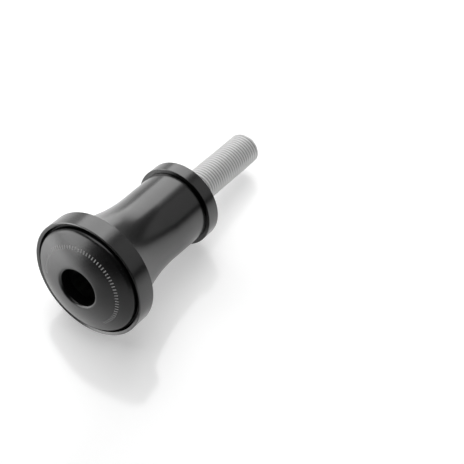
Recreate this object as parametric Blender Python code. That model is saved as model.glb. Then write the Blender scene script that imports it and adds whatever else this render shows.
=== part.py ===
# Long motorcycle frame slider: a turned spool with a domed slide pad at its outer end, an inner
# spacer collar, and a long socket head cap screw that passes through all of it into the frame.
# The slider's axis is X. The collar seats on the frame at X = 0 and the pad faces +X.
# Every turned piece is an outline of (x, radius) points, given from the piece's own back face.

from math import acos, asin, atan2, ceil, cos, pi, radians, sin, tan

import bmesh
import bpy
from mathutils import Vector

MM = 0.001

# Clearances
FIT = 0.3 * MM                  # between two faces that seat on each other
BORE_CLEARANCE = 0.4 * MM       # round the bolt's thread, in the collar and the spool

# Mounting bolt, M14 x 1.5 with a socket head
BOLT_RADIUS = 7.0 * MM
BOLT_LENGTH = 80.0 * MM         # under the head
STUD_LENGTH = 46.4 * MM         # what stands out of the collar
THREAD_PITCH = 1.5 * MM
THREAD_DEPTH = 0.6134 * THREAD_PITCH  # of an ISO metric bolt, at 60 degrees
THREAD_INSIDE = 4.0 * MM        # how far at least the thread goes on inside the collar
THREAD_RUN_OUT = 3.0 * MM       # where the groove fades into the plain shank
BOLT_END_CHAMFER = 1.2 * MM
HEAD_RADIUS = 10.5 * MM
HEAD_HEIGHT = 14.0 * MM
HEAD_CHAMFER = 1.0 * MM
HEAD_FILLET = 0.35 * MM         # where the shank meets the head
KEY_FLATS = 12.0 * MM           # across the hexagon socket's flats
KEY_DEPTH = 7.0 * MM
KEY_DRILL_ANGLE = radians(59)   # half angle of the drill point at the socket's bottom

# Washer under the head
WASHER_RADIUS = 11.0 * MM
WASHER_BORE_CLEARANCE = 0.5 * MM
WASHER_THICKNESS = 2.5 * MM
WASHER_CHAMFER = 0.5 * MM

# Spacer collar
COLLAR_RADIUS = 17.4 * MM
COLLAR_WIDTH = 6.4 * MM
COLLAR_CHAMFER = 0.5 * MM

# Spool
SPOOL_LENGTH = 47.0 * MM        # from the collar to the bezel
SPOOL_END_RADIUS = 15.7 * MM
SPOOL_END_FILLET = 1.2 * MM
WAIST_RADIUS = 15.5 * MM
WAIST_OFFSET = 29.5 * MM        # from the bezel back to the waist
FLARE_RADIUS = 21.4 * MM        # where the flare meets the bezel
FLARE_EDGE = 0.3 * MM
BORE_CHAMFER = 0.5 * MM
POCKET_CLEARANCE = 1.0 * MM     # round the bolt's head
POCKET_FILLET = 0.4 * MM
NOSE_WALL = 2.5 * MM
NOSE_LENGTH = 9.0 * MM          # the threaded spigot that carries the pad
NOSE_CHAMFER = 0.8 * MM

# Bezel, a cup round the pad
BEZEL_RADIUS = 25.0 * MM
BEZEL_WIDTH = 8.4 * MM
BEZEL_RIM = 1.35 * MM           # wall of the rim
BEZEL_FLOOR = 2.4 * MM
BEZEL_FRONT_CHAMFER = 0.7 * MM
BEZEL_LIP_CHAMFER = 0.2 * MM
BEZEL_BACK_CHAMFER = 0.3 * MM
BEZEL_CORNER_FILLET = 0.6 * MM

# Slide pad
PAD_GAP = 1.05 * MM             # open groove between the pad and the rim
DOME_RISE = 6.9 * MM            # from the rim's front to where the dome would peak
SHOULDER_SETBACK = 0.6 * MM     # from the rim's front back to where the shoulder starts
SHOULDER_RADIUS = 2.2 * MM
PAD_BACK_CHAMFER = 0.4 * MM
KEY_HOLE_RADIUS = 8.0 * MM
KEY_HOLE_ROUND = 0.6 * MM

# Sealing ring between the pad and the rim
SEAL_RADIUS = 0.95 * MM         # of its round section
SEAL_DEPTH = 2.9 * MM           # from the rim's front to the section's centre

# Facets
SAME_POINT = 0.001 * MM         # points closer than this are one, as on the bolt's axis
SHARP_EDGE = radians(30)        # edges that bend more than this are shaded sharp
TURN_STEPS = 44
THREAD_STEPS = 24               # round the bolt
FLARE_STEPS = 9
DOME_STEPS = 7
SHOULDER_STEPS = 5
SEAL_STEPS = 12
ROUND_STEPS = 3

# Places along the axis
collar_front = COLLAR_WIDTH
spool_back = collar_front + FIT
spool_front = spool_back + SPOOL_LENGTH
nose_front = spool_front + NOSE_LENGTH
bezel_back = spool_front + FIT
bezel_front = bezel_back + BEZEL_WIDTH
pad_back = bezel_back + BEZEL_FLOOR + FIT
pad_ledge = nose_front + FIT
under_head = BOLT_LENGTH - STUD_LENGTH
head_front = under_head + HEAD_HEIGHT
washer_front = under_head - FIT
washer_back = washer_front - WASHER_THICKNESS
pocket_floor = washer_back - FIT
seal_centre = bezel_front - SEAL_DEPTH

# Thread, a whole number of turns
thread_turns = ceil((STUD_LENGTH + THREAD_INSIDE) / THREAD_PITCH)
thread_length = thread_turns * THREAD_PITCH

# Radii that follow from their neighbours
bore_radius = BOLT_RADIUS + BORE_CLEARANCE
washer_bore_radius = BOLT_RADIUS + WASHER_BORE_CLEARANCE
pocket_radius = max(HEAD_RADIUS, WASHER_RADIUS - POCKET_CLEARANCE + FIT) + POCKET_CLEARANCE
nose_radius = pocket_radius + NOSE_WALL
nose_hole_radius = nose_radius + FIT
rim_radius = BEZEL_RADIUS - BEZEL_RIM
pad_radius = rim_radius - PAD_GAP
seal_ring_radius = rim_radius - FIT - SEAL_RADIUS
seal_groove_radius = seal_ring_radius - SEAL_RADIUS - FIT
seal_groove_half_width = SEAL_RADIUS + FIT


def clear_scene():
    for old in list(bpy.data.objects):
        bpy.data.objects.remove(old)


def chamfer(x, r, size):
    """An outline's corner, cut off straight by this size along both edges."""
    return (x, r, size, 0)


def fillet(x, r, radius):
    """An outline's corner, rounded with this radius."""
    return (x, r, radius, ROUND_STEPS)


def arc(centre_x, centre_r, radius, first, last, steps):
    """Points on an arc, from one angle to another, measured from +X towards larger radii."""
    angles = [first + (last - first) * step / steps for step in range(steps + 1)]
    return [(centre_x + radius * cos(a), centre_r + radius * sin(a)) for a in angles]


def outline(corners):
    """The closed outline of a turned piece, with its corners chamfered or rounded."""
    points = []
    for index, corner in enumerate(corners):
        here = Vector(corner[:2])
        if len(corner) == 2:
            points.append(here)
            continue
        before = (Vector(corners[index - 1][:2]) - here).normalized()
        after = (Vector(corners[(index + 1) % len(corners)][:2]) - here).normalized()
        size, steps = corner[2:]
        if steps == 0:
            points += [here + before * size, here + after * size]
            continue
        half_angle = acos(before.dot(after)) / 2
        middle = here + (before + after).normalized() * size / sin(half_angle)
        start = here + before * size / tan(half_angle) - middle
        end = here + after * size / tan(half_angle) - middle
        turn = start.angle_signed(end)
        for step in range(steps + 1):
            angle = atan2(start.y, start.x) - turn * step / steps
            points.append(middle + Vector((cos(angle), sin(angle))) * size)
    return points


def spin(bm, points, steps):
    """Add the surface that a run of (x, radius) points sweeps about the slider's axis."""
    verts = [bm.verts.new((x, 0.0, r)) for x, r in points]
    edges = [bm.edges.new(pair) for pair in zip(verts, verts[1:])]
    bmesh.ops.spin(bm, geom=verts + edges, cent=(0, 0, 0), axis=(1, 0, 0), angle=2 * pi,
                   steps=steps, use_merge=True)


def turned(name, place, corners, material):
    """Spin a closed outline of (x, radius) points into one piece."""
    bm = bmesh.new()
    points = outline(corners)
    spin(bm, points + points[:1], TURN_STEPS)
    return piece_from(bm, name, place, material)


def piece_from(bm, name, place, material):
    """The finished piece, from surfaces that meet point to point."""
    bmesh.ops.remove_doubles(bm, verts=bm.verts, dist=SAME_POINT)
    bmesh.ops.recalc_face_normals(bm, faces=bm.faces)
    mesh = bpy.data.meshes.new(name)
    bm.to_mesh(mesh)
    bm.free()
    mesh.shade_smooth()
    mesh.set_sharp_from_angle(angle=SHARP_EDGE)
    mesh.materials.append(material)
    piece = bpy.data.objects.new(name, mesh)
    piece.location = (place, 0, 0)
    bpy.context.collection.objects.link(piece)
    return piece


def finish(name, colour, metallic, roughness):
    material = bpy.data.materials.new(name)
    material.use_nodes = True
    shader = material.node_tree.nodes["Principled BSDF"]
    shader.inputs["Base Color"].default_value = (*colour, 1.0)
    shader.inputs["Metallic"].default_value = metallic
    shader.inputs["Roughness"].default_value = roughness
    return material


def make_collar():
    """Spacer between the spool and the frame; its back is the face that seats."""
    return turned("spacer_collar", 0, [
        chamfer(0, bore_radius, BORE_CHAMFER),
        chamfer(0, COLLAR_RADIUS, COLLAR_CHAMFER),
        chamfer(COLLAR_WIDTH, COLLAR_RADIUS, COLLAR_CHAMFER),
        chamfer(COLLAR_WIDTH, bore_radius, BORE_CHAMFER),
    ], finish("collar_anodising", (0.035, 0.035, 0.038), 0.7, 0.32))


def flare(waist):
    """The trumpet from the waist to the bezel, one arc that leaves the waist without a kink."""
    rise = FLARE_RADIUS - WAIST_RADIUS
    radius = (WAIST_OFFSET ** 2 + rise ** 2) / (2 * rise)
    sweep = asin(WAIST_OFFSET / radius)
    points = arc(waist, WAIST_RADIUS + radius, radius, -pi / 2, -pi / 2 + sweep, FLARE_STEPS)
    return points[:-1] + [chamfer(SPOOL_LENGTH, FLARE_RADIUS, FLARE_EDGE)]


def make_spool():
    """Body of the slider: bore, pocket for the bolt's head, waist, flare and threaded nose."""
    nose = SPOOL_LENGTH + NOSE_LENGTH
    floor = pocket_floor - spool_back
    return turned("spool_body", spool_back, [
        chamfer(0, bore_radius, BORE_CHAMFER),
        fillet(0, SPOOL_END_RADIUS, SPOOL_END_FILLET),
        *flare(SPOOL_LENGTH - WAIST_OFFSET),
        (SPOOL_LENGTH, nose_radius),
        chamfer(nose, nose_radius, NOSE_CHAMFER),
        (nose, pocket_radius),
        fillet(floor, pocket_radius, POCKET_FILLET),
        (floor, bore_radius),
    ], finish("spool_anodising", (0.03, 0.03, 0.033), 0.7, 0.28))


def make_bezel():
    """Cup on the spool's nose: the floor is held under the pad, the rim stands round it."""
    return turned("bezel_ring", bezel_back, [
        (0, nose_hole_radius),
        chamfer(0, BEZEL_RADIUS, BEZEL_BACK_CHAMFER),
        chamfer(BEZEL_WIDTH, BEZEL_RADIUS, BEZEL_FRONT_CHAMFER),
        chamfer(BEZEL_WIDTH, rim_radius, BEZEL_LIP_CHAMFER),
        fillet(BEZEL_FLOOR, rim_radius, BEZEL_CORNER_FILLET),
        (BEZEL_FLOOR, nose_hole_radius),
    ], finish("bezel_anodising", (0.035, 0.035, 0.038), 0.7, 0.3))


def dome(peak):
    """The pad's crown: a rounded shoulder, then a shallow sphere up to the key hole.

    The sphere has the one radius that peaks here and runs into the shoulder without a kink.
    """
    rise = DOME_RISE + SHOULDER_SETBACK
    shoulder_r = pad_radius - SHOULDER_RADIUS
    radius = (rise ** 2 + shoulder_r ** 2 - SHOULDER_RADIUS ** 2) / (2 * (rise - SHOULDER_RADIUS))
    edge_angle = atan2(shoulder_r, radius - rise)
    shoulder = arc(peak - rise, shoulder_r, SHOULDER_RADIUS, pi / 2, edge_angle, SHOULDER_STEPS)
    hole_angle = asin(KEY_HOLE_RADIUS / radius)
    crown = arc(peak - radius, 0, radius, edge_angle, hole_angle, DOME_STEPS)
    return shoulder + crown[1:-1] + [fillet(*crown[-1], KEY_HOLE_ROUND)]


def make_pad():
    """Replaceable slide pad of low friction polymer, screwed on the spool's nose."""
    groove = seal_centre - pad_back
    ledge = pad_ledge - pad_back
    return turned("slide_pad", pad_back, [
        (0, nose_hole_radius),
        chamfer(0, pad_radius, PAD_BACK_CHAMFER),
        (groove - seal_groove_half_width, pad_radius),
        (groove - seal_groove_half_width, seal_groove_radius),
        (groove + seal_groove_half_width, seal_groove_radius),
        (groove + seal_groove_half_width, pad_radius),
        *dome(bezel_front + DOME_RISE - pad_back),
        (ledge, KEY_HOLE_RADIUS),
        (ledge, nose_hole_radius),
    ], finish("pad_polymer", (0.028, 0.028, 0.03), 0.0, 0.38))


def make_seal():
    """Rubber ring in the pad's groove; it centres the pad in the rim and keeps dirt out."""
    section = arc(0, seal_ring_radius, SEAL_RADIUS, 0, 2 * pi, SEAL_STEPS)[:-1]
    return turned("pad_seal", seal_centre, section,
                  finish("seal_rubber", (0.02, 0.02, 0.02), 0.0, 0.6))


def make_washer():
    """Flat washer on the floor of the pocket."""
    return turned("head_washer", washer_back, [
        (0, washer_bore_radius),
        (0, WASHER_RADIUS),
        chamfer(WASHER_THICKNESS, WASHER_RADIUS, WASHER_CHAMFER),
        (WASHER_THICKNESS, washer_bore_radius),
    ], finish("washer_zinc", (0.62, 0.62, 0.6), 1.0, 0.35))


def hexagon_cutter():
    """Guide body for the key socket: a hexagon with a drill point below it.

    Its corners lie between the corners of the head's own facets.
    """
    corner_radius = KEY_FLATS / 2 / cos(pi / 6)
    drill_point = KEY_FLATS / 2 / tan(KEY_DRILL_ANGLE)
    bm = bmesh.new()
    mouth = []
    bottom = []
    for index in range(6):
        angle = pi / 3 * index + pi / THREAD_STEPS
        y, z = corner_radius * cos(angle), corner_radius * sin(angle)
        mouth.append(bm.verts.new((HEAD_CHAMFER, y, z)))
        bottom.append(bm.verts.new((-KEY_DEPTH, y, z)))
    point = bm.verts.new((-KEY_DEPTH - drill_point, 0, 0))
    bm.faces.new(mouth)
    for index in range(6):
        beside = (index + 1) % 6
        bm.faces.new((mouth[index], bottom[index], bottom[beside], mouth[beside]))
        bm.faces.new((bottom[index], point, bottom[beside]))
    bmesh.ops.recalc_face_normals(bm, faces=bm.faces)
    mesh = bpy.data.meshes.new("key_socket_cutter")
    bm.to_mesh(mesh)
    bm.free()
    cutter = bpy.data.objects.new("key_socket_cutter", mesh)
    cutter.location = (head_front, 0, 0)
    cutter.hide_render = True
    cutter.display_type = "WIRE"
    bpy.context.collection.objects.link(cutter)
    return cutter


def thread_radius(along, depth):
    """Radius of the thread at this distance from the bolt's tip, which has a chamfer."""
    fade = min((thread_length - along) / THREAD_RUN_OUT, 1)
    tip = BOLT_RADIUS - BOLT_END_CHAMFER + along
    return min(BOLT_RADIUS - depth * fade, tip)


def cut_thread(bm):
    """Add the right-hand thread: for each angle, a column of crests and roots along the bolt.

    Each column stands a little further on than the last, and after a full turn it meets the
    first one, a pitch on. Points past either end of the thread are drawn in to that end.
    """
    columns = []
    for step in range(THREAD_STEPS + 1):
        angle = 2 * pi * step / THREAD_STEPS
        column = []
        for half_pitch in range(-2, 2 * thread_turns + 1):
            along = (half_pitch / 2 + step / THREAD_STEPS) * THREAD_PITCH
            along = min(max(along, 0), thread_length)
            r = thread_radius(along, THREAD_DEPTH * (half_pitch % 2))
            place = (along - BOLT_LENGTH, -r * sin(angle), r * cos(angle))
            column.append(bm.verts.new(place))
        columns.append(column)
    for here, beside in zip(columns, columns[1:]):
        for first, second in zip(zip(here, beside), zip(here[1:], beside[1:])):
            bm.faces.new((*first, *reversed(second)))


def make_bolt():
    """Cap screw, free to turn in the spool; the pad's hole is smaller than its head."""
    bm = bmesh.new()
    cut_thread(bm)
    spin(bm, [(-BOLT_LENGTH, 0), (-BOLT_LENGTH, BOLT_RADIUS - BOLT_END_CHAMFER)], THREAD_STEPS)
    spin(bm, outline([
        (thread_length - BOLT_LENGTH, BOLT_RADIUS),
        fillet(0, BOLT_RADIUS, HEAD_FILLET),
        (0, HEAD_RADIUS),
        chamfer(HEAD_HEIGHT, HEAD_RADIUS, HEAD_CHAMFER),
        (HEAD_HEIGHT, 0),
    ]), THREAD_STEPS)
    bolt = piece_from(bm, "mounting_bolt", under_head, finish("bolt_zinc", (0.68, 0.68, 0.66), 1.0, 0.33))
    socket = bolt.modifiers.new("key_socket", "BOOLEAN")
    socket.operation = "DIFFERENCE"
    socket.object = hexagon_cutter()
    return bolt


def main():
    clear_scene()
    axis = bpy.data.objects.new("slider_axis", None)
    bpy.context.collection.objects.link(axis)
    makers = (make_collar, make_spool, make_bezel, make_pad, make_seal, make_washer, make_bolt)
    for make in makers:
        make().parent = axis


main()
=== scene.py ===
# Looks of a motorcycle frame slider: black anodised aluminium spool, collar and bezel, a domed
# polymer pad, and a zinc plated bolt with its real M14 x 1.5 thread.
# The slider's axis is X and the pad faces +X. It lies on a white table, on its bezel and its collar.
from math import acos, asin, atan2, ceil, cos, hypot, pi, radians, sin, tan

import bmesh
import bpy
from mathutils import Matrix, Vector


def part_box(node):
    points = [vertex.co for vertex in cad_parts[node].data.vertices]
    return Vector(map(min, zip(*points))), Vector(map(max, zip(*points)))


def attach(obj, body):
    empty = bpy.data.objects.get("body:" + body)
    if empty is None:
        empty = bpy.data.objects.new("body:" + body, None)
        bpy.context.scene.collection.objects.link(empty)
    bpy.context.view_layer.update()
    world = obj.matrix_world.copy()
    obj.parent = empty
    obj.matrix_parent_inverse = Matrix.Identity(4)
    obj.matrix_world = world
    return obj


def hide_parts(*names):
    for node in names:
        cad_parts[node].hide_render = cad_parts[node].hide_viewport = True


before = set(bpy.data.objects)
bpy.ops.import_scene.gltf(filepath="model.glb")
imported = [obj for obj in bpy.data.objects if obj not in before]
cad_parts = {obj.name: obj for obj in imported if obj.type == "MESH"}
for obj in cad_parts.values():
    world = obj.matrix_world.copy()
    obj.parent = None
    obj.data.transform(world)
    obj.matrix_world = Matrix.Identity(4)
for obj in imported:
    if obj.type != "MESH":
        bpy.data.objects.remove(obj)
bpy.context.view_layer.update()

MM = 0.001

# Clearances
BORE_CLEARANCE = 0.4 * MM       # round the bolt's thread
WASHER_BORE_CLEARANCE = 0.5 * MM
POCKET_CLEARANCE = 1.0 * MM     # round the bolt's head
FIT = 0.3 * MM                  # between parts that are pushed or screwed together

# Collar
COLLAR_CHAMFER = 0.5 * MM
COLLAR_FRONT_CHAMFER = 0.15 * MM
BORE_CHAMFER = 0.5 * MM

# Spool
SPOOL_LENGTH = 47.0 * MM        # from the collar to the bezel
SPOOL_END_RADIUS = 15.7 * MM
WAIST_RADIUS = 15.5 * MM
WAIST_OFFSET = 29.5 * MM        # from the bezel back to the waist
FLARE_RADIUS = 21.4 * MM        # where the flare meets the bezel
FLARE_EDGE = 0.3 * MM
NOSE_WALL = 2.5 * MM
NOSE_CHAMFER = 0.8 * MM
POCKET_FILLET = 0.4 * MM

# Bezel
BEZEL_RIM = 1.35 * MM
BEZEL_FLOOR = 2.4 * MM
BEZEL_FRONT_CHAMFER = 0.3 * MM
BEZEL_LIP_SLOPE = 0.45 * MM     # how far the lip falls towards the pad
BEZEL_BACK_CHAMFER = 0.3 * MM
BEZEL_CORNER_FILLET = 0.6 * MM

# Pad
DOME_RISE = 6.9 * MM            # from the rim's front to where the dome would peak
SHOULDER_SETBACK = 0.6 * MM     # from the rim's front back to where the shoulder starts
SHOULDER_RADIUS = 2.2 * MM
PAD_BACK_CHAMFER = 0.4 * MM
KEY_HOLE_RADIUS = 8.0 * MM
KEY_HOLE_ROUND = 1.1 * MM
DOME_DROP = 0.03 * MM           # keeps the dome's finer facets inside the solid's box
TICK_RADIUS = 16.9 * MM         # middle of the row of ticks on the dome
TICK_LENGTH = 1.3 * MM
TICK_EVERY = 3                  # one tick in this many facets of the dome
TICKS_MIDDLE = radians(18)      # the ticks stand on an arc with its middle here, from straight up
TICKS_HALF = radians(122)       # and reach this far to either side

# Washer
WASHER_CHAMFER = 0.5 * MM

# Bolt
BOLT_RADIUS = 7.0 * MM
HEAD_HEIGHT = 14.0 * MM
HEAD_CHAMFER = 1.0 * MM
HEAD_FILLET = 0.35 * MM
KEY_FLATS = 12.0 * MM
KEY_DEPTH = 7.0 * MM
KEY_DRILL_ANGLE = radians(59)   # half of the drill's point
KEY_CORNER = radians(37.5)      # where the socket's first corner stands
BOLT_END_CHAMFER = 1.2 * MM
PITCH = 1.5 * MM
THREAD_DEPTH = 0.6134 * PITCH   # of an ISO metric bolt
THREAD_FLANK = radians(30)      # half of the thread's 60 degrees
CREST_WIDTH = PITCH / 8
ROOT_SHARE = 0.12               # share of the thread's depth in which its root is rounded
ROOT_MIDDLE = 0.35              # what is left of that share at the flank's foot
THREAD_INSIDE = 4.0 * MM        # how far at least the thread goes on inside the collar
THREAD_RUN_OUT = 3.0 * MM       # where the groove fades into the plain shank

# Meshes
EDGE_BREAK = 0.12 * MM          # a turned corner is broken by this radius
SMALL_EDGE = EDGE_BREAK / 2     # beside the groove between pad and rim
CRISP_EDGE = 0.04 * MM          # at the step between collar and spool
EDGE_STEPS = 3
FILLET_STEPS = 12
FLARE_STEPS = 40
SHOULDER_STEPS = 16
DOME_OUTER_STEPS = 8            # from the shoulder to the ticks
DOME_INNER_STEPS = 16           # from the ticks to the key hole
SEAL_STEPS = 32
TURN_STEPS = 240
THREAD_STEPS = 96
SHARP_ANGLE = radians(50)       # the bolt's edges stay sharp from this angle
WELD = 0.002 * MM               # points closer than this become one

# Camera, from the outlines in the photograph, in the table's own directions
CAMERA_LENS = 101.6             # in mm, on a sensor of the next width
CAMERA_SENSOR = 36
CAMERA_DISTANCE = 545.3 * MM
CAMERA_ELEVATION = radians(46.97)
CAMERA_HEADING = radians(34.18)  # from straight in front of the pad, towards +Y
AIM_ALONG = -9.48 * MM          # where the picture's middle meets the table
AIM_ACROSS = 17.55 * MM

# Studio round the lamps
LAMP_AIM = 20 * MM              # the lamps face a point this far along the table and above it
BRIGHT_HEADING = radians(-115)  # where the dim studio is brightest
BRIGHT_NARROWNESS = 5.0
STUDIO_DARKEST = 0.02
STUDIO_BRIGHTEST = 0.85

# Table top. Places on it are along and across, from below the slider's origin.
TABLE_RADIUS = 900 * MM
TABLE_STEPS = 96
# The patch, foot and behind numbers paint glowing light on the table, which only reflections show.
PATCH_PLACE = (155 * MM, -115 * MM, 0)
PATCH_INNER = 15 * MM           # the bright patch has its full strength up to here
PATCH_OUTER = 120 * MM          # and none from here
PATCH_STRENGTH = 2.3
FOOT_PLACE = (66 * MM, -3 * MM, 0)
FOOT_OUTER = 40 * MM
FOOT_STRENGTH = 0.52
BEHIND = (-0.707, -0.707, 0)    # direction in which the back left of the table lies
BEHIND_START = -100 * MM
BEHIND_FULL = 30 * MM
BEHIND_STRENGTH = 0.4
# Painted light: the table's lift is larger left of the slider than right, which lightens the shadow on
# the left.
SIDES_REACH = 35 * MM           # the lift changes between this far left and right of the slider
LIFT_LEFT = 0.48
LIFT_RIGHT = 0.26
WHITE_START = 150 * MM          # the lift grows to full white between these distances
WHITE_FULL = 350 * MM

# Places and radii from the frame
collar_low, collar_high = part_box("spacer_collar")
spool_low, spool_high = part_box("spool_body")
bezel_low, bezel_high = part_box("bezel_ring")
pad_low, pad_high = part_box("slide_pad")
seal_low, seal_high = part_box("pad_seal")
washer_low, washer_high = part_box("head_washer")
bolt_low, bolt_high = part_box("mounting_bolt")

collar_radius = collar_high.z
bezel_radius = bezel_high.z
rim_radius = bezel_radius - BEZEL_RIM
pad_radius = pad_high.z
washer_radius = washer_high.z
head_radius = bolt_high.z
seal_section = (seal_high.x - seal_low.x) / 2
seal_centre = (seal_high.x + seal_low.x) / 2
seal_ring_radius = seal_high.z - seal_section
seal_groove_radius = seal_ring_radius - seal_section - FIT
bore_radius = BOLT_RADIUS + BORE_CLEARANCE
washer_bore_radius = BOLT_RADIUS + WASHER_BORE_CLEARANCE
pocket_radius = head_radius + POCKET_CLEARANCE
nose_radius = pocket_radius + NOSE_WALL
nose_hole_radius = nose_radius + FIT
spool_front = spool_low.x + SPOOL_LENGTH
pocket_floor = washer_low.x - FIT
pad_ledge = spool_high.x + FIT
under_head = bolt_high.x - HEAD_HEIGHT
thread_turns = ceil((THREAD_INSIDE - bolt_low.x) / PITCH)
thread_end = bolt_low.x + thread_turns * PITCH

# The table touches the back corners of the collar and of the bezel.
table_tilt = atan2(bezel_radius - collar_radius, bezel_low.x - collar_low.x)
table_along = Vector((cos(table_tilt), 0, -sin(table_tilt)))
table_across = Vector((0, 1, 0))
table_up = Vector((sin(table_tilt), 0, cos(table_tilt)))
table_point = table_up * table_up.dot(Vector((collar_low.x, 0, -collar_radius)))


# Outlines of turned pieces

def corner(x, r, radius=EDGE_BREAK):
    """An outline's corner, rounded by this radius."""
    return (x, r, radius)


def arc(centre_x, centre_r, radius, first, last, steps):
    """Points on an arc, from one angle to another, measured from +X towards larger radii."""
    angles = [first + (last - first) * step / steps for step in range(steps + 1)]
    return [(centre_x + radius * cos(a), centre_r + radius * sin(a), 0) for a in angles]


def outline(corners):
    """The closed outline of a turned piece, with its corners rounded."""
    points = []
    for index, (x, r, radius) in enumerate(corners):
        here = Vector((x, r))
        if radius == 0:
            points.append(here)
            continue
        before = (Vector(corners[index - 1][:2]) - here).normalized()
        after = (Vector(corners[(index + 1) % len(corners)][:2]) - here).normalized()
        half_angle = acos(before.dot(after)) / 2
        middle = here + (before + after).normalized() * radius / sin(half_angle)
        start = here + before * radius / tan(half_angle) - middle
        end = here + after * radius / tan(half_angle) - middle
        turn = start.angle_signed(end)
        steps = EDGE_STEPS if radius <= EDGE_BREAK else FILLET_STEPS
        for step in range(steps + 1):
            angle = atan2(start.y, start.x) - turn * step / steps
            points.append(middle + Vector((cos(angle), sin(angle))) * radius)
    return points


def turned_point(bm, x, angle, r):
    """A point at a radius; the angle turns right-handed about +X, from straight up."""
    return bm.verts.new((x, -r * sin(angle), r * cos(angle)))


def bridge(bm, first, second):
    """Quads between two closed rows of points."""
    for index in range(-1, len(first) - 1):
        bm.faces.new((first[index], first[index + 1], second[index + 1], second[index]))


def turned(name, corners):
    """A closed piece: its outline stands at every step of a full turn about the slider's axis."""
    bm = bmesh.new()
    points = outline(corners)
    angles = [2 * pi * step / TURN_STEPS for step in range(TURN_STEPS)]
    rows = [[turned_point(bm, x, angle, r) for x, r in points] for angle in angles]
    for index in range(-1, TURN_STEPS - 1):
        bridge(bm, rows[index], rows[index + 1])
    bmesh.ops.recalc_face_normals(bm, faces=bm.faces)
    return piece_from(name, bm)


def piece_from(name, bm):
    """The finished piece: smooth over its rounded edges, with the flat faces kept flat."""
    mesh = bpy.data.meshes.new(name)
    bm.to_mesh(mesh)
    bm.free()
    mesh.shade_smooth()
    piece = bpy.data.objects.new(name, mesh)
    bpy.context.collection.objects.link(piece)
    piece.modifiers.new("flat_faces", "WEIGHTED_NORMAL")
    return piece


# The pieces

def make_collar():
    """Spacer ring with chamfers all round and a crisp front edge."""
    back, front = collar_low.x, collar_high.x
    return turned("collar_finish", [
        corner(back + BORE_CHAMFER, bore_radius),
        corner(back, bore_radius + BORE_CHAMFER),
        corner(back, collar_radius - COLLAR_CHAMFER),
        corner(back + COLLAR_CHAMFER, collar_radius),
        corner(front - COLLAR_FRONT_CHAMFER, collar_radius, CRISP_EDGE),
        corner(front, collar_radius - COLLAR_FRONT_CHAMFER, CRISP_EDGE),
        corner(front, bore_radius + BORE_CHAMFER),
        corner(front - BORE_CHAMFER, bore_radius),
    ])


def flare(waist):
    """The trumpet from the waist to the bezel, one arc that leaves the waist without a kink."""
    rise = FLARE_RADIUS - WAIST_RADIUS
    radius = (WAIST_OFFSET ** 2 + rise ** 2) / (2 * rise)
    sweep = asin((WAIST_OFFSET - FLARE_EDGE) / radius)
    return arc(waist, WAIST_RADIUS + radius, radius, -pi / 2, -pi / 2 + sweep, FLARE_STEPS)


def make_spool():
    """Spool with its waist and flare, the bolt's bore, the head's pocket and the threaded nose."""
    back, front, nose = spool_low.x, spool_front, spool_high.x
    return turned("spool_finish", [
        corner(back + BORE_CHAMFER, bore_radius),
        corner(back, bore_radius + BORE_CHAMFER),
        corner(back, SPOOL_END_RADIUS, CRISP_EDGE),
        *flare(front - WAIST_OFFSET),
        corner(front, FLARE_RADIUS - FLARE_EDGE),
        corner(front, nose_radius),
        corner(nose - NOSE_CHAMFER, nose_radius),
        corner(nose, nose_radius - NOSE_CHAMFER),
        corner(nose, pocket_radius),
        corner(pocket_floor, pocket_radius, POCKET_FILLET),
        corner(pocket_floor, bore_radius),
    ])


def make_bezel():
    """Cup round the pad, with a narrow chamfer outside and a lip that slopes in to the pad."""
    back, front = bezel_low.x, bezel_high.x
    return turned("bezel_finish", [
        corner(back, nose_hole_radius),
        corner(back, bezel_radius - BEZEL_BACK_CHAMFER),
        corner(back + BEZEL_BACK_CHAMFER, bezel_radius),
        corner(front - BEZEL_FRONT_CHAMFER, bezel_radius),
        corner(front, bezel_radius - BEZEL_FRONT_CHAMFER),
        corner(front - BEZEL_LIP_SLOPE, rim_radius, SMALL_EDGE),
        corner(back + BEZEL_FLOOR, rim_radius, BEZEL_CORNER_FILLET),
        corner(back + BEZEL_FLOOR, nose_hole_radius),
    ])


def dome(peak):
    """The pad's crown: a rounded shoulder, then a shallow sphere up to the key hole's lead-in.

    One row of facets on the sphere is as long as the ticks.
    """
    rise = DOME_RISE + SHOULDER_SETBACK
    shoulder_r = pad_radius - SHOULDER_RADIUS
    radius = (rise ** 2 + shoulder_r ** 2 - SHOULDER_RADIUS ** 2) / (2 * (rise - SHOULDER_RADIUS))
    edge = atan2(shoulder_r, radius - rise)
    tick_out = asin((TICK_RADIUS + TICK_LENGTH / 2) / radius)
    tick_in = asin((TICK_RADIUS - TICK_LENGTH / 2) / radius)
    near_hole = asin((KEY_HOLE_RADIUS + 2 * KEY_HOLE_ROUND) / radius)
    hole = asin(KEY_HOLE_RADIUS / radius)
    points = arc(peak - rise, shoulder_r, SHOULDER_RADIUS, pi / 2, edge, SHOULDER_STEPS)
    stretches = [
        (edge, tick_out, DOME_OUTER_STEPS),
        (tick_out, tick_in, 1),
        (tick_in, near_hole, DOME_INNER_STEPS),
    ]
    for first, last, steps in stretches:
        points += arc(peak - radius, 0, radius, first, last, steps)[1:]
    return points + [corner(peak - radius + radius * cos(hole), KEY_HOLE_RADIUS, KEY_HOLE_ROUND)]


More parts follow.
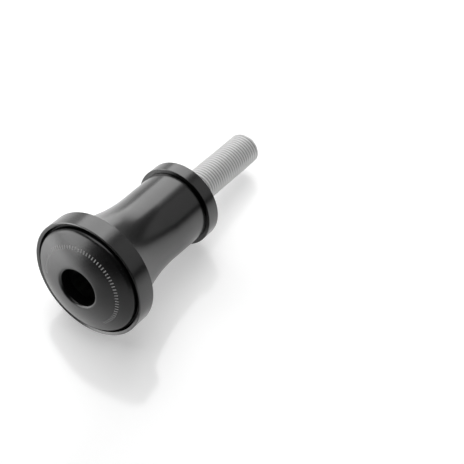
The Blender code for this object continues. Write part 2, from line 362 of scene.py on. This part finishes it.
def make_pad():
    """Domed slide pad with its key hole, a groove for the seal and an arc of marked ticks."""
    back = pad_low.x
    groove = seal_section + FIT
    pad = turned("pad_finish", [
        corner(back, nose_hole_radius),
        corner(back, pad_radius - PAD_BACK_CHAMFER),
        corner(back + PAD_BACK_CHAMFER, pad_radius),
        corner(seal_centre - groove, pad_radius),
        corner(seal_centre - groove, seal_groove_radius),
        corner(seal_centre + groove, seal_groove_radius),
        corner(seal_centre + groove, pad_radius, SMALL_EDGE),
        *dome(bezel_high.x + DOME_RISE - DOME_DROP),
        corner(pad_ledge, KEY_HOLE_RADIUS),
        corner(pad_ledge, nose_hole_radius),
    ])
    for face in pad.data.polygons:
        middle = face.center
        angle = atan2(middle.y, middle.z)
        facet = round(angle / (2 * pi) * TURN_STEPS + 0.5)
        in_row = abs(hypot(middle.y, middle.z) - TICK_RADIUS) < TICK_LENGTH / 4
        in_arc = abs(angle - TICKS_MIDDLE) < TICKS_HALF
        on_dome = middle.x > bezel_high.x
        if in_row and in_arc and on_dome and facet % TICK_EVERY == 0:
            face.material_index = 1
    return pad


def make_seal():
    """Rubber ring in the groove between the pad and the rim."""
    section = arc(seal_centre, seal_ring_radius, seal_section, 0, 2 * pi, SEAL_STEPS)
    return turned("seal_finish", section[:-1])


def make_washer():
    """Flat washer under the bolt's head."""
    back, front = washer_low.x, washer_high.x
    return turned("washer_finish", [
        corner(back, washer_bore_radius),
        corner(back, washer_radius),
        corner(front - WASHER_CHAMFER, washer_radius),
        corner(front, washer_radius - WASHER_CHAMFER),
        corner(front, washer_bore_radius),
    ])


def thread_outline():
    """One pitch of the thread as (x, depth below the crest), with a flat crest and a round root."""
    half_crest = CREST_WIDTH / 2
    flank = THREAD_DEPTH * tan(THREAD_FLANK)
    near_root = flank * (1 - ROOT_SHARE)
    ease = ROOT_SHARE * THREAD_DEPTH
    return [
        (-half_crest, 0),
        (half_crest, 0),
        (half_crest + near_root, THREAD_DEPTH - ease),
        (half_crest + flank, THREAD_DEPTH - ease * ROOT_MIDDLE),
        (PITCH / 2, THREAD_DEPTH),
        (PITCH - half_crest - flank, THREAD_DEPTH - ease * ROOT_MIDDLE),
        (PITCH - half_crest - near_root, THREAD_DEPTH - ease),
    ]


def thread_radius(x, depth):
    """Radius at x of a thread that fades into the plain shank and is cut by the end chamfer."""
    fade = min((thread_end - x) / THREAD_RUN_OUT, 1)
    cone = BOLT_RADIUS - BOLT_END_CHAMFER + (x - bolt_low.x)
    return min(BOLT_RADIUS - depth * fade, cone)


def ring_of(bm, x, radius_at):
    """A ring of points at x, its radius given for each angle."""
    angles = [2 * pi * step / THREAD_STEPS for step in range(THREAD_STEPS)]
    return [turned_point(bm, x, angle, radius_at(angle)) for angle in angles]


def cut_thread(bm):
    """The right-hand thread: for each angle, a column of points along the bolt.

    Each column stands a little further on than the last, and after a full turn it meets the
    first one, a pitch on. Points past either end of the thread are drawn in to that end.
    """
    columns = []
    for step in range(THREAD_STEPS + 1):
        angle = 2 * pi * step / THREAD_STEPS
        column = []
        for turn in range(-1, thread_turns + 1):
            for offset, depth in thread_outline():
                x = bolt_low.x + (turn + step / THREAD_STEPS) * PITCH + offset
                x = min(max(x, bolt_low.x), thread_end)
                column.append(turned_point(bm, x, angle, thread_radius(x, depth)))
        columns.append(column)
    for here, beside in zip(columns, columns[1:]):
        for i in range(len(here) - 1):
            bm.faces.new((here[i], beside[i], beside[i + 1], here[i + 1]))
    bmesh.ops.remove_doubles(bm, verts=bm.verts, dist=WELD)


def hexagon(angle):
    """Radius of the key socket's wall at an angle."""
    side = pi / 3
    return KEY_FLATS / 2 / cos((angle - KEY_CORNER) % side - side / 2)


def make_bolt():
    """Socket head cap screw with its thread cut to the bolt's end."""
    bm = bmesh.new()
    cut_thread(bm)
    half = HEAD_FILLET * (1 - cos(pi / 4))
    rows = [
        (thread_end, BOLT_RADIUS),
        (under_head - HEAD_FILLET, BOLT_RADIUS),
        (under_head - half, BOLT_RADIUS + half),
        (under_head, BOLT_RADIUS + HEAD_FILLET),
        (under_head, head_radius - EDGE_BREAK),
        (under_head + EDGE_BREAK, head_radius),
        (bolt_high.x - HEAD_CHAMFER, head_radius),
        (bolt_high.x, head_radius - HEAD_CHAMFER),
    ]
    rings = [ring_of(bm, x, lambda angle, r=r: r) for x, r in rows]
    socket_floor = bolt_high.x - KEY_DEPTH
    rings.append(ring_of(bm, bolt_high.x, lambda angle: hexagon(angle) + EDGE_BREAK))
    rings.append(ring_of(bm, bolt_high.x - EDGE_BREAK, hexagon))
    rings.append(ring_of(bm, socket_floor, hexagon))
    rings.append(ring_of(bm, socket_floor, lambda angle: KEY_FLATS / 2))
    for first, second in zip(rings, rings[1:]):
        bridge(bm, first, second)
    drill_point = bm.verts.new((socket_floor - KEY_FLATS / 2 / tan(KEY_DRILL_ANGLE), 0, 0))
    for i, vert in enumerate(rings[-1]):
        bm.faces.new((vert, rings[-1][(i + 1) % THREAD_STEPS], drill_point))
    end_ring = ring_of(bm, bolt_low.x, lambda angle: BOLT_RADIUS - BOLT_END_CHAMFER)
    bm.faces.new(end_ring)
    bmesh.ops.remove_doubles(bm, verts=bm.verts, dist=WELD)
    bmesh.ops.recalc_face_normals(bm, faces=bm.faces)
    bolt = piece_from("bolt_finish", bm)
    bolt.data.set_sharp_from_angle(angle=SHARP_ANGLE)
    return bolt


# Materials

def linear(hex_colour):
    """An sRGB hex colour as the linear colour that shaders take."""
    parts = [int(hex_colour[i:i + 2], 16) / 255 for i in (1, 3, 5)]
    return (*[c / 12.92 if c <= 0.04045 else ((c + 0.055) / 1.055) ** 2.4 for c in parts], 1)


def add(tree, kind, inputs=None, **settings):
    """A node with its settings; each input takes a value or another node's output."""
    node = tree.nodes.new(kind)
    for name, value in settings.items():
        setattr(node, name, value)
    for key, value in (inputs or {}).items():
        if isinstance(value, bpy.types.NodeSocket):
            tree.links.new(value, node.inputs[key])
        else:
            node.inputs[key].default_value = value
    return node


def new_material(name):
    """A new material, its node tree, and its shader, which is joined to the output already."""
    material = bpy.data.materials.new(name)
    material.use_nodes = True
    tree = material.node_tree
    return material, tree, tree.nodes["Principled BSDF"]


def turned_place(tree):
    """Coordinates that are the same all round a turned ring: along the axis, and out from it."""
    place = add(tree, "ShaderNodeTexCoord").outputs["Object"]
    split = add(tree, "ShaderNodeSeparateXYZ", {"Vector": place}).outputs
    across = add(tree, "ShaderNodeCombineXYZ", {"Y": split["Y"], "Z": split["Z"]})
    out = add(tree, "ShaderNodeVectorMath", {0: across.outputs[0]}, operation="LENGTH")
    return add(tree, "ShaderNodeCombineXYZ", {"X": split["X"], "Y": out.outputs["Value"]}).outputs[0]


def anodised_aluminium():
    """Turned aluminium, etched satin and dyed black: a grey metallic sheen that blurs what it
    mirrors, with faint turning marks under it."""
    material, tree, shader = new_material("black_anodised_aluminium")
    rings = turned_place(tree)
    # The cutter's feed is about 0.1 mm a turn, too fine to show, so the marks are drawn at 0.5 mm.
    marks = add(tree, "ShaderNodeTexNoise", {"Vector": rings, "Scale": 1 / (0.5 * MM), "Detail": 3})
    place = add(tree, "ShaderNodeTexCoord").outputs["Object"]
    # The dye takes a little unevenly, in clouds of about 6 mm.
    cloud = add(tree, "ShaderNodeTexNoise", {"Vector": place, "Scale": 1 / (6 * MM), "Detail": 4})
    tone = add(tree, "ShaderNodeMix", {"Factor": cloud.outputs["Fac"], "A": linear("#5b5b5b"),
                                       "B": linear("#616161")}, data_type="RGBA")
    gloss = add(tree, "ShaderNodeMapRange", {"Value": marks.outputs["Fac"],
                                             "To Min": 0.21, "To Max": 0.24})
    bump = add(tree, "ShaderNodeBump", {"Height": marks.outputs["Fac"], "Distance": 0.0006 * MM})
    tree.links.new(tone.outputs["Result"], shader.inputs["Base Color"])
    tree.links.new(gloss.outputs["Result"], shader.inputs["Roughness"])
    tree.links.new(bump.outputs["Normal"], shader.inputs["Normal"])
    shader.inputs["Metallic"].default_value = 1.0
    return material


def acetal_polymer():
    """Black acetal, turned and lightly polished: dark body, soft gloss."""
    material, tree, shader = new_material("black_acetal")
    rings = turned_place(tree)
    # What the polish leaves of the turning marks is about 0.1 mm apart, drawn at 0.6 mm to show.
    marks = add(tree, "ShaderNodeTexNoise", {"Vector": rings, "Scale": 1 / (0.6 * MM), "Detail": 2})
    place = add(tree, "ShaderNodeTexCoord").outputs["Object"]
    # The polish's haze is finer than a pixel, which is about 0.4 mm, so it is drawn at 0.5 mm.
    grain = add(tree, "ShaderNodeTexNoise", {"Vector": place, "Scale": 1 / (0.5 * MM), "Detail": 3})
    gloss = add(tree, "ShaderNodeMapRange", {"Value": grain.outputs["Fac"],
                                             "To Min": 0.26, "To Max": 0.28})
    bump = add(tree, "ShaderNodeBump", {"Height": marks.outputs["Fac"], "Distance": 0.0005 * MM})
    tree.links.new(gloss.outputs["Result"], shader.inputs["Roughness"])
    tree.links.new(bump.outputs["Normal"], shader.inputs["Normal"])
    shader.inputs["Base Color"].default_value = linear("#0b0b0c")
    shader.inputs["IOR"].default_value = 1.6
    return material


def laser_marking():
    """Laser marking on the acetal: the burnt polymer foams up light grey and matt."""
    material, tree, shader = new_material("laser_marking")
    place = add(tree, "ShaderNodeTexCoord").outputs["Object"]
    # The laser's foamed spots are about 0.05 mm, drawn at 0.15 mm to show.
    spots = add(tree, "ShaderNodeTexNoise", {"Vector": place, "Scale": 1 / (0.15 * MM), "Detail": 2})
    tone = add(tree, "ShaderNodeMix", {"Factor": spots.outputs["Fac"], "A": linear("#aeaeae"),
                                       "B": linear("#c2c2c2")}, data_type="RGBA")
    tree.links.new(tone.outputs["Result"], shader.inputs["Base Color"])
    shader.inputs["Roughness"].default_value = 0.6
    return material


def nitrile_rubber():
    """Moulded nitrile rubber: black and dull."""
    material, tree, shader = new_material("nitrile_rubber")
    place = add(tree, "ShaderNodeTexCoord").outputs["Object"]
    # The mould's surface is a fine matt grain of about 0.1 mm, drawn at 0.2 mm to show.
    grain = add(tree, "ShaderNodeTexNoise", {"Vector": place, "Scale": 1 / (0.2 * MM), "Detail": 3})
    tone = add(tree, "ShaderNodeMix", {"Factor": grain.outputs["Fac"], "A": linear("#111111"),
                                       "B": linear("#181818")}, data_type="RGBA")
    gloss = add(tree, "ShaderNodeMapRange", {"Value": grain.outputs["Fac"],
                                             "To Min": 0.5, "To Max": 0.6})
    bump = add(tree, "ShaderNodeBump", {"Height": grain.outputs["Fac"], "Distance": 0.004 * MM})
    tree.links.new(tone.outputs["Result"], shader.inputs["Base Color"])
    tree.links.new(gloss.outputs["Result"], shader.inputs["Roughness"])
    tree.links.new(bump.outputs["Normal"], shader.inputs["Normal"])
    return material


def zinc_plate():
    """Zinc plate on steel, dulled by its passivation: light grey, with painted shade in the thread's
    root.
    """
    material, tree, shader = new_material("zinc_plated_steel")
    place = add(tree, "ShaderNodeTexCoord").outputs["Object"]
    # The passivation is blotchy in spots of about 2 mm.
    cloud = add(tree, "ShaderNodeTexNoise", {"Vector": place, "Scale": 1 / (2 * MM), "Detail": 4})
    tone = add(tree, "ShaderNodeMix", {"Factor": cloud.outputs["Fac"], "A": linear("#e0e0e0"),
                                       "B": linear("#e8e8e8")}, data_type="RGBA")
    # Painted shade: the tone is dark at the root and light from a quarter of the thread's depth below
    # the crest.
    root = BOLT_RADIUS - THREAD_DEPTH
    light_from = BOLT_RADIUS - 0.25 * THREAD_DEPTH
    out = add(tree, "ShaderNodeSeparateXYZ", {"Vector": turned_place(tree)}).outputs["Y"]
    root_shade_fade = add(tree, "ShaderNodeMapRange", {"Value": out, "From Min": root,
                                              "From Max": light_from})
    # The bolt's flat end and the key socket lie further in than the root, and they are kept out of the
    # painted shade.
    within = BOLT_RADIUS - 1.1 * THREAD_DEPTH
    inside = add(tree, "ShaderNodeMath", {0: out, 1: within}, operation="LESS_THAN")
    light = add(tree, "ShaderNodeMath", {0: root_shade_fade.outputs["Result"], 1: inside.outputs[0]},
                operation="MAXIMUM")
    # 787878 is the painted shade in the thread's root, mixed in by the fade above.
    colour = add(tree, "ShaderNodeMix", {"Factor": light.outputs[0], "A": linear("#787878"),
                                         "B": tone.outputs["Result"]}, data_type="RGBA")
    gloss = add(tree, "ShaderNodeMapRange", {"Value": cloud.outputs["Fac"],
                                             "To Min": 0.34, "To Max": 0.44})
    tree.links.new(colour.outputs["Result"], shader.inputs["Base Color"])
    tree.links.new(gloss.outputs["Result"], shader.inputs["Roughness"])
    shader.inputs["Metallic"].default_value = 0.25
    return material


# The studio

def on_table(along, across, up=0):
    """A point given on the table, below the slider's origin, in the table's own directions."""
    return table_point + table_along * along + table_across * across + table_up * up


def away(heading, elevation):
    """A direction over the table: 0 is straight in front of the pad and 90 is +Y."""
    flat = table_along * cos(heading) + table_across * sin(heading)
    return flat * cos(elevation) + table_up * sin(elevation)


def make_camera():
    """The photograph's view: level with the table, and looking down on it."""
    back = away(CAMERA_HEADING, CAMERA_ELEVATION)
    right = table_up.cross(back).normalized()
    up = back.cross(right)
    camera = bpy.data.objects.new("camera", bpy.data.cameras.new("camera"))
    camera.data.lens = CAMERA_LENS
    camera.data.sensor_width = CAMERA_SENSOR
    turn = Matrix((right, up, back)).transposed().to_4x4()
    stand = on_table(AIM_ALONG, AIM_ACROSS) + back * CAMERA_DISTANCE
    camera.matrix_world = Matrix.Translation(stand) @ turn
    bpy.context.collection.objects.link(camera)
    bpy.context.scene.camera = camera


def softbox(name, heading, elevation, roll, distance, shift, size, brightness, hidden_from=()):
    """A rectangular lamp in a plane that faces the slider; a mirror would show its brightness."""
    lamp = bpy.data.objects.new(name, bpy.data.lights.new(name, "AREA"))
    lamp.data.shape = "RECTANGLE"
    lamp.data.size, lamp.data.size_y = size
    lamp.data.energy = brightness * pi * size[0] * size[1]
    back = away(heading, elevation)
    right = table_up.cross(back).normalized()
    turn = Matrix((right, back.cross(right), back)).transposed().to_4x4()
    middle = Matrix.Translation(on_table(LAMP_AIM, 0, LAMP_AIM) + back * distance)
    lamp.matrix_world = middle @ turn @ Matrix.Rotation(roll, 4, "Z") @ Matrix.Translation((*shift, 0))
    for rays in hidden_from:
        setattr(lamp, "visible_" + rays, False)
    bpy.context.collection.objects.link(lamp)


def make_lamps():
    """Each lamp's heading, elevation, roll, distance, shift in its plane, size and brightness."""
    # The main light stands behind the slider. Its edges bound the long stripe on the spool.
    softbox("back_softbox", radians(-112), radians(42), radians(-45), 700 * MM,
            (-300 * MM, -240 * MM), (680 * MM, 760 * MM), 1.7)
    # The next two only show in reflections. One stands to the left, and the strip low down behind.
    softbox("left_softbox", radians(-50), radians(17), 0, 600 * MM,
            (0, 0), (570 * MM, 380 * MM), 3.6, ["diffuse"])
    softbox("back_strip", radians(-149), radians(4), 0, 700 * MM,
            (0, 0), (220 * MM, 220 * MM), 1.3, ["diffuse"])
    softbox("top_softbox", radians(-146), radians(78), 0, 800 * MM,
            (0, 0), (800 * MM, 800 * MM), 1.8)
    # A dim card keeps the far side from going black.
    softbox("right_card", radians(140), radians(28), 0, 700 * MM,
            (0, 0), (550 * MM, 500 * MM), 0.30)
    # The fill lights the near side, and is left out of reflections.
    softbox("front_fill", radians(95), radians(35), 0, 700 * MM,
            (0, 0), (600 * MM, 600 * MM), 1.3, ["glossy"])


def make_world():
    """White to the camera. To the slider it is a dim studio, brighter to the left and behind."""
    world = bpy.data.worlds.new("studio")
    world.use_nodes = True
    tree = world.node_tree
    background = tree.nodes["Background"]
    ray = add(tree, "ShaderNodeLightPath").outputs
    place = add(tree, "ShaderNodeTexCoord").outputs["Generated"]
    bright_side = away(BRIGHT_HEADING, 0)
    facing = add(tree, "ShaderNodeVectorMath", {0: place, 1: bright_side}, operation="DOT_PRODUCT")
    toward = add(tree, "ShaderNodeMapRange", {"Value": facing.outputs["Value"],
                                              "From Min": -1.0, "From Max": 1.0})
    near = add(tree, "ShaderNodeMath", {0: toward.outputs["Result"], 1: BRIGHT_NARROWNESS},
               operation="POWER")
    dim = add(tree, "ShaderNodeMapRange", {"Value": near.outputs[0], "To Min": STUDIO_DARKEST,
                                           "To Max": STUDIO_BRIGHTEST})
    strength = add(tree, "ShaderNodeMath", {0: ray["Is Camera Ray"], 1: dim.outputs["Result"]},
                   operation="MAXIMUM")
    tree.links.new(strength.outputs[0], background.inputs["Strength"])
    background.inputs["Color"].default_value = (1, 1, 1, 1)
    bpy.context.scene.world = world


def table_in_reflections(tree, place):
    """Painted light that only reflections get from the table, as if it were lit unevenly: a glowing
    patch in front of the pad, some more at the bezel's foot, and a rise towards the back left."""
    from_patch = add(tree, "ShaderNodeVectorMath", {0: place, 1: PATCH_PLACE}, operation="DISTANCE")
    patch = add(tree, "ShaderNodeMapRange", {"Value": from_patch.outputs["Value"],
                                             "From Min": PATCH_INNER, "From Max": PATCH_OUTER,
                                             "To Min": PATCH_STRENGTH, "To Max": 0.0})
    from_foot = add(tree, "ShaderNodeVectorMath", {0: place, 1: FOOT_PLACE}, operation="DISTANCE")
    foot = add(tree, "ShaderNodeMapRange", {"Value": from_foot.outputs["Value"],
                                            "From Min": 0.0, "From Max": FOOT_OUTER,
                                            "To Min": FOOT_STRENGTH, "To Max": 0.0})
    how_far = add(tree, "ShaderNodeVectorMath", {0: place, 1: BEHIND}, operation="DOT_PRODUCT")
    behind = add(tree, "ShaderNodeMapRange", {"Value": how_far.outputs["Value"],
                                              "From Min": BEHIND_START, "From Max": BEHIND_FULL,
                                              "To Min": 0.0, "To Max": BEHIND_STRENGTH})
    rest = add(tree, "ShaderNodeMath", {0: foot.outputs["Result"], 1: behind.outputs["Result"]})
    return add(tree, "ShaderNodeMath", {0: patch.outputs["Result"], 1: rest.outputs[0]}).outputs[0]


def table_to_camera(tree, place):
    """The lift that makes the table white to the camera: a part of it round the slider, so that
    the shadow stays, painted lighter to the slider's left than to its right, and full white far away."""
    across = add(tree, "ShaderNodeSeparateXYZ", {"Vector": place}).outputs["Y"]
    near = add(tree, "ShaderNodeMapRange", {"Value": across,
                                            "From Min": -SIDES_REACH, "From Max": SIDES_REACH,
                                            "To Min": LIFT_LEFT, "To Max": LIFT_RIGHT})
    reach = add(tree, "ShaderNodeVectorMath", {0: place}, operation="LENGTH")
    far = add(tree, "ShaderNodeMapRange", {"Value": reach.outputs["Value"],
                                           "From Min": WHITE_START, "From Max": WHITE_FULL,
                                           "To Min": 0.0, "To Max": 1.0})
    return add(tree, "ShaderNodeMath", {0: near.outputs["Result"], 1: far.outputs["Result"]},
               operation="MAXIMUM").outputs[0]


def white_acrylic():
    """Polished white acrylic: it mirrors what stands on it. From below it is clear."""
    material, tree, shader = new_material("white_acrylic")
    shader.inputs["Base Color"].default_value = linear("#e4e4e4")
    shader.inputs["Roughness"].default_value = 0.12
    ray = add(tree, "ShaderNodeLightPath").outputs
    place = add(tree, "ShaderNodeTexCoord").outputs["Object"]
    # Painted light: for glossy rays the table glows on top of what the lamps give it.
    painted_glow = table_in_reflections(tree, place)
    mirrored = add(tree, "ShaderNodeMath", {0: ray["Is Glossy Ray"], 1: painted_glow}, operation="MULTIPLY")
    lift = table_to_camera(tree, place)
    seen = add(tree, "ShaderNodeMath", {0: ray["Is Camera Ray"], 1: lift}, operation="MULTIPLY")
    light = add(tree, "ShaderNodeMath", {0: seen.outputs[0], 1: mirrored.outputs[0]},
                operation="MAXIMUM")
    # The emission holds painted light: the uneven lift that the camera sees and the glow that
    # reflections see.
    shader.inputs["Emission Color"].default_value = (1, 1, 1, 1)
    tree.links.new(light.outputs[0], shader.inputs["Emission Strength"])
    below = add(tree, "ShaderNodeNewGeometry").outputs["Backfacing"]
    clear = add(tree, "ShaderNodeBsdfTransparent").outputs[0]
    either = add(tree, "ShaderNodeMixShader", {0: below, 1: shader.outputs[0], 2: clear})
    tree.links.new(either.outputs[0], tree.nodes["Material Output"].inputs["Surface"])
    return material


def make_table():
    """Round table top that the slider lies on."""
    bm = bmesh.new()
    bmesh.ops.create_circle(bm, cap_ends=True, radius=TABLE_RADIUS, segments=TABLE_STEPS)
    mesh = bpy.data.meshes.new("table_top")
    bm.to_mesh(mesh)
    bm.free()
    table = bpy.data.objects.new("table_top", mesh)
    turn = Matrix((table_along, table_across, table_up)).transposed().to_4x4()
    table.matrix_world = Matrix.Translation(on_table(0, 0)) @ turn
    bpy.context.collection.objects.link(table)
    mesh.materials.append(white_acrylic())


# Dressing

def dress(piece, node, body, slot, *materials):
    """Put the piece in its node's place, on its body, with its finish."""
    for material in materials:
        piece.data.materials.append(material)
    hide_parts(node)
    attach(piece, body)


make_camera()
make_lamps()
make_world()
make_table()

aluminium = anodised_aluminium()
zinc = zinc_plate()
dress(make_collar(), "spacer_collar", "slider", "anodised_collar", aluminium)
dress(make_spool(), "spool_body", "slider", "anodised_spool", aluminium)
dress(make_bezel(), "bezel_ring", "slider", "anodised_bezel", aluminium)
dress(make_pad(), "slide_pad", "slider", "polymer_pad", acetal_polymer(), laser_marking())
dress(make_seal(), "pad_seal", "slider", "seal_rubber", nitrile_rubber())
dress(make_washer(), "head_washer", "slider", "zinc_washer", zinc)
dress(make_bolt(), "mounting_bolt", "bolt", "zinc_bolt", zinc)

bpy.context.scene.view_settings.view_transform = "Standard"
